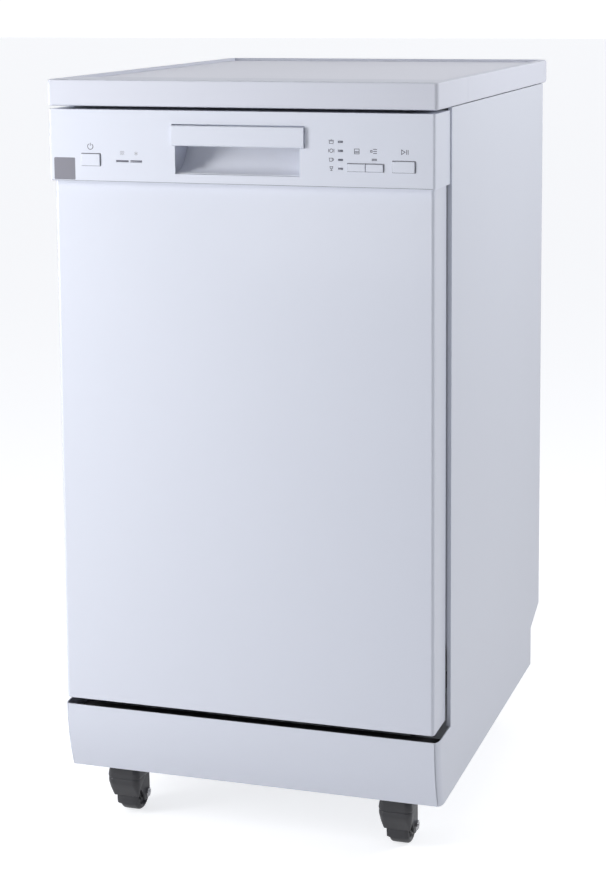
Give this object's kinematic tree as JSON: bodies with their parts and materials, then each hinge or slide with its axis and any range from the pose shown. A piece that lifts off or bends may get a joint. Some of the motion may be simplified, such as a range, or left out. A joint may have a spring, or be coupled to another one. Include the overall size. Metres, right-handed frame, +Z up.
{
  "type": "portable dishwasher",
  "caption": "Narrow portable dishwasher on swivel casters: bottom-hinged front door with a control console and pocket handle, worktop, tub with two sliding racks and spray arms.",
  "frame": {"origin": "middle of the base: centre of the bounding box in plan, on the floor that the casters stand on", "axes": "+Z up, +X to the right seen from the front, the door faces -Y"},
  "size_m": [0.45, 0.616, 0.873],
  "materials": {
    "white_paint": "satin white enamel on sheet steel",
    "trim_plastic": "fine grained pale grey-white plastic",
    "laminate": "pale matt laminate over board",
    "console_plastic": "smooth satin white plastic",
    "black_plastic": "black plastic, slightly glossy",
    "caster_rubber": "black glossy wheel plastic",
    "gasket_rubber": "grey sealing rubber",
    "stainless": "brushed stainless sheet",
    "zinc_steel": "zinc coated sheet steel",
    "coated_wire": "grey coated wire",
    "inner_plastic": "light grey moulded plastic",
    "circuit_board": "green board",
    "smoked_lens": "smoked clear plastic"
  },
  "bodies": {
    "root": {"worktop_board": "laminate", "worktop_front_trim": "trim_plastic", "worktop_rear_trim": "trim_plastic", "side_panel_left": "white_paint", "side_panel_right": "white_paint", "back_panel": "zinc_steel", "plinth_front": "white_paint", "base_tray": "zinc_steel", "tub_wrapper": "stainless", "tub_rear_wall": "stainless", "tub_floor": "stainless", "door_gasket": "gasket_rubber", "rack_rail_left": "stainless", "rack_rail_right": "stainless", "coarse_filter": "stainless", "sump": "inner_plastic", "wash_pump": "black_plastic", "drain_pump": "black_plastic", "inlet_valve": "inner_plastic", "mains_gland": "black_plastic", "riser_pipe": "inner_plastic", "latch_strike": "zinc_steel", "hinge_bracket_left": "zinc_steel", "hinge_bracket_right": "zinc_steel"},
    "door": {"door_panel": "white_paint", "control_console": "console_plastic", "inner_door": "stainless", "latch_housing": "black_plastic", "dispenser_body": "inner_plastic", "light_guide": "smoked_lens", "control_board": "circuit_board", "hinge_arm_left": "black_plastic", "hinge_arm_right": "black_plastic"},
    "handle": {"handle_lever": "console_plastic"},
    "latch_claw": {"latch_claw": "zinc_steel"},
    "power_button": {"power_button": "console_plastic"},
    "program_button": {"program_button": "console_plastic"},
    "option_button": {"option_button": "console_plastic"},
    "start_button": {"start_button": "console_plastic"},
    "dispenser_lid": {"dispenser_lid": "inner_plastic"},
    "rinse_aid_cap": {"rinse_aid_cap": "inner_plastic"},
    "lower_rack": {"lower_rack": "coated_wire"},
    "upper_rack": {"upper_rack": "coated_wire", "upper_feed_pipe": "inner_plastic"},
    "cutlery_basket": {"cutlery_basket": "inner_plastic"},
    "lower_spray_arm": {"lower_spray_arm": "inner_plastic"},
    "upper_spray_arm": {"upper_spray_arm": "inner_plastic"},
    "filter_cup": {"filter_cup": "inner_plastic"},
    "rack_wheel_front_left": {"rack_wheel_front_left": "inner_plastic"},
    "rack_wheel_front_right": {"rack_wheel_front_right": "inner_plastic"},
    "rack_wheel_rear_left": {"rack_wheel_rear_left": "inner_plastic"},
    "rack_wheel_rear_right": {"rack_wheel_rear_right": "inner_plastic"},
    "caster_front_left": {"caster_fork_front_left": "black_plastic"},
    "wheel_front_left": {"caster_wheel_front_left": "caster_rubber"},
    "caster_front_right": {"caster_fork_front_right": "black_plastic"},
    "wheel_front_right": {"caster_wheel_front_right": "caster_rubber"},
    "caster_rear_left": {"caster_fork_rear_left": "black_plastic"},
    "wheel_rear_left": {"caster_wheel_rear_left": "caster_rubber"},
    "caster_rear_right": {"caster_fork_rear_right": "black_plastic"},
    "wheel_rear_right": {"caster_wheel_rear_right": "caster_rubber"}
  },
  "joints": [
    {"name": "door_hinge", "type": "hinge", "parent": "root", "child": "door", "pos_m": [0, -0.2525, 0.194], "axis": [1, 0, 0], "range_deg": [0, 90], "stiffness_Nm_per_rad": 14, "springref_deg": -12.03},
    {"name": "handle_pull", "type": "hinge", "parent": "door", "child": "handle", "pos_m": [0.0015, -0.2995, 0.8205], "axis": [-1, 0, 0], "range_deg": [0, 10], "stiffness_Nm_per_rad": 0.5},
    {"name": "latch_release", "type": "hinge", "parent": "door", "child": "latch_claw", "pos_m": [0, -0.2525, 0.812], "axis": [-1, 0, 0], "range_deg": [0, 10]},
    {"name": "power_press", "type": "slide", "parent": "door", "child": "power_button", "axis": [0, 1, 0], "range_m": [0, 0.002], "stiffness_N_per_m": 400, "springref_m": -0.001},
    {"name": "program_press", "type": "slide", "parent": "door", "child": "program_button", "axis": [0, 1, 0], "range_m": [0, 0.002], "stiffness_N_per_m": 400, "springref_m": -0.001},
    {"name": "option_press", "type": "slide", "parent": "door", "child": "option_button", "axis": [0, 1, 0], "range_m": [0, 0.002], "stiffness_N_per_m": 400, "springref_m": -0.001},
    {"name": "start_press", "type": "slide", "parent": "door", "child": "start_button", "axis": [0, 1, 0], "range_m": [0, 0.002], "stiffness_N_per_m": 400, "springref_m": -0.001},
    {"name": "dispenser_lid_slide", "type": "slide", "parent": "door", "child": "dispenser_lid", "axis": [0, 0, -1], "range_m": [0, 0.055]},
    {"name": "rinse_aid_cap_turn", "type": "hinge", "parent": "door", "child": "rinse_aid_cap", "pos_m": [0.038, -0.2365, 0.528], "axis": [0, 1, 0], "range_deg": [0, 90]},
    {"name": "lower_rack_slide", "type": "slide", "parent": "root", "child": "lower_rack", "axis": [0, -1, 0], "range_m": [0, 0.018]},
    {"name": "upper_rack_slide", "type": "slide", "parent": "root", "child": "upper_rack", "axis": [0, -1, 0], "range_m": [0, 0.018]},
    {"name": "cutlery_basket_lift", "type": "slide", "parent": "lower_rack", "child": "cutlery_basket", "axis": [0, 0, 1], "range_m": [0, 0.06]},
    {"name": "lower_spray_arm_spin", "type": "hinge", "parent": "root", "child": "lower_spray_arm", "pos_m": [0, 0.0035, 0.222], "axis": [0, 0, 1], "continuous": true},
    {"name": "upper_spray_arm_spin", "type": "hinge", "parent": "upper_rack", "child": "upper_spray_arm", "pos_m": [0, 0.0035, 0.521], "axis": [0, 0, 1], "continuous": true},
    {"name": "filter_cup_twist", "type": "hinge", "parent": "root", "child": "filter_cup", "pos_m": [0, 0.0535, 0.15], "axis": [0, 0, 1], "range_deg": [0, 30]},
    {"name": "rack_wheel_front_left_spin", "type": "hinge", "parent": "lower_rack", "child": "rack_wheel_front_left", "pos_m": [-0.1907, -0.1525, 0.2043], "axis": [1, 0, 0], "continuous": true},
    {"name": "rack_wheel_front_right_spin", "type": "hinge", "parent": "lower_rack", "child": "rack_wheel_front_right", "pos_m": [0.1907, -0.1525, 0.2043], "axis": [1, 0, 0], "continuous": true},
    {"name": "rack_wheel_rear_left_spin", "type": "hinge", "parent": "lower_rack", "child": "rack_wheel_rear_left", "pos_m": [-0.1907, 0.1525, 0.2043], "axis": [1, 0, 0], "continuous": true},
    {"name": "rack_wheel_rear_right_spin", "type": "hinge", "parent": "lower_rack", "child": "rack_wheel_rear_right", "pos_m": [0.1907, 0.1525, 0.2043], "axis": [1, 0, 0], "continuous": true},
    {"name": "caster_front_left_swivel", "type": "hinge", "parent": "root", "child": "caster_front_left", "pos_m": [-0.1656, -0.2445, 0.06], "axis": [0, 0, 1], "continuous": true},
    {"name": "wheel_front_left_spin", "type": "hinge", "parent": "caster_front_left", "child": "wheel_front_left", "pos_m": [-0.1656, -0.2275, 0.021], "axis": [1, 0, 0], "continuous": true},
    {"name": "caster_front_right_swivel", "type": "hinge", "parent": "root", "child": "caster_front_right", "pos_m": [0.1656, -0.2445, 0.06], "axis": [0, 0, 1], "continuous": true},
    {"name": "wheel_front_right_spin", "type": "hinge", "parent": "caster_front_right", "child": "wheel_front_right", "pos_m": [0.1656, -0.2275, 0.021], "axis": [1, 0, 0], "continuous": true},
    {"name": "caster_rear_left_swivel", "type": "hinge", "parent": "root", "child": "caster_rear_left", "pos_m": [-0.1656, 0.1575, 0.06], "axis": [0, 0, 1], "continuous": true},
    {"name": "wheel_rear_left_spin", "type": "hinge", "parent": "caster_rear_left", "child": "wheel_rear_left", "pos_m": [-0.1656, 0.1745, 0.021], "axis": [1, 0, 0], "continuous": true},
    {"name": "caster_rear_right_swivel", "type": "hinge", "parent": "root", "child": "caster_rear_right", "pos_m": [0.1656, 0.1575, 0.06], "axis": [0, 0, 1], "continuous": true},
    {"name": "wheel_rear_right_spin", "type": "hinge", "parent": "caster_rear_right", "child": "wheel_rear_right", "pos_m": [0.1656, 0.1745, 0.021], "axis": [1, 0, 0], "continuous": true}
  ],
  "couplings": [
    {"joint": "latch_release", "follows": "handle_pull", "ratio": 1}
  ]
}
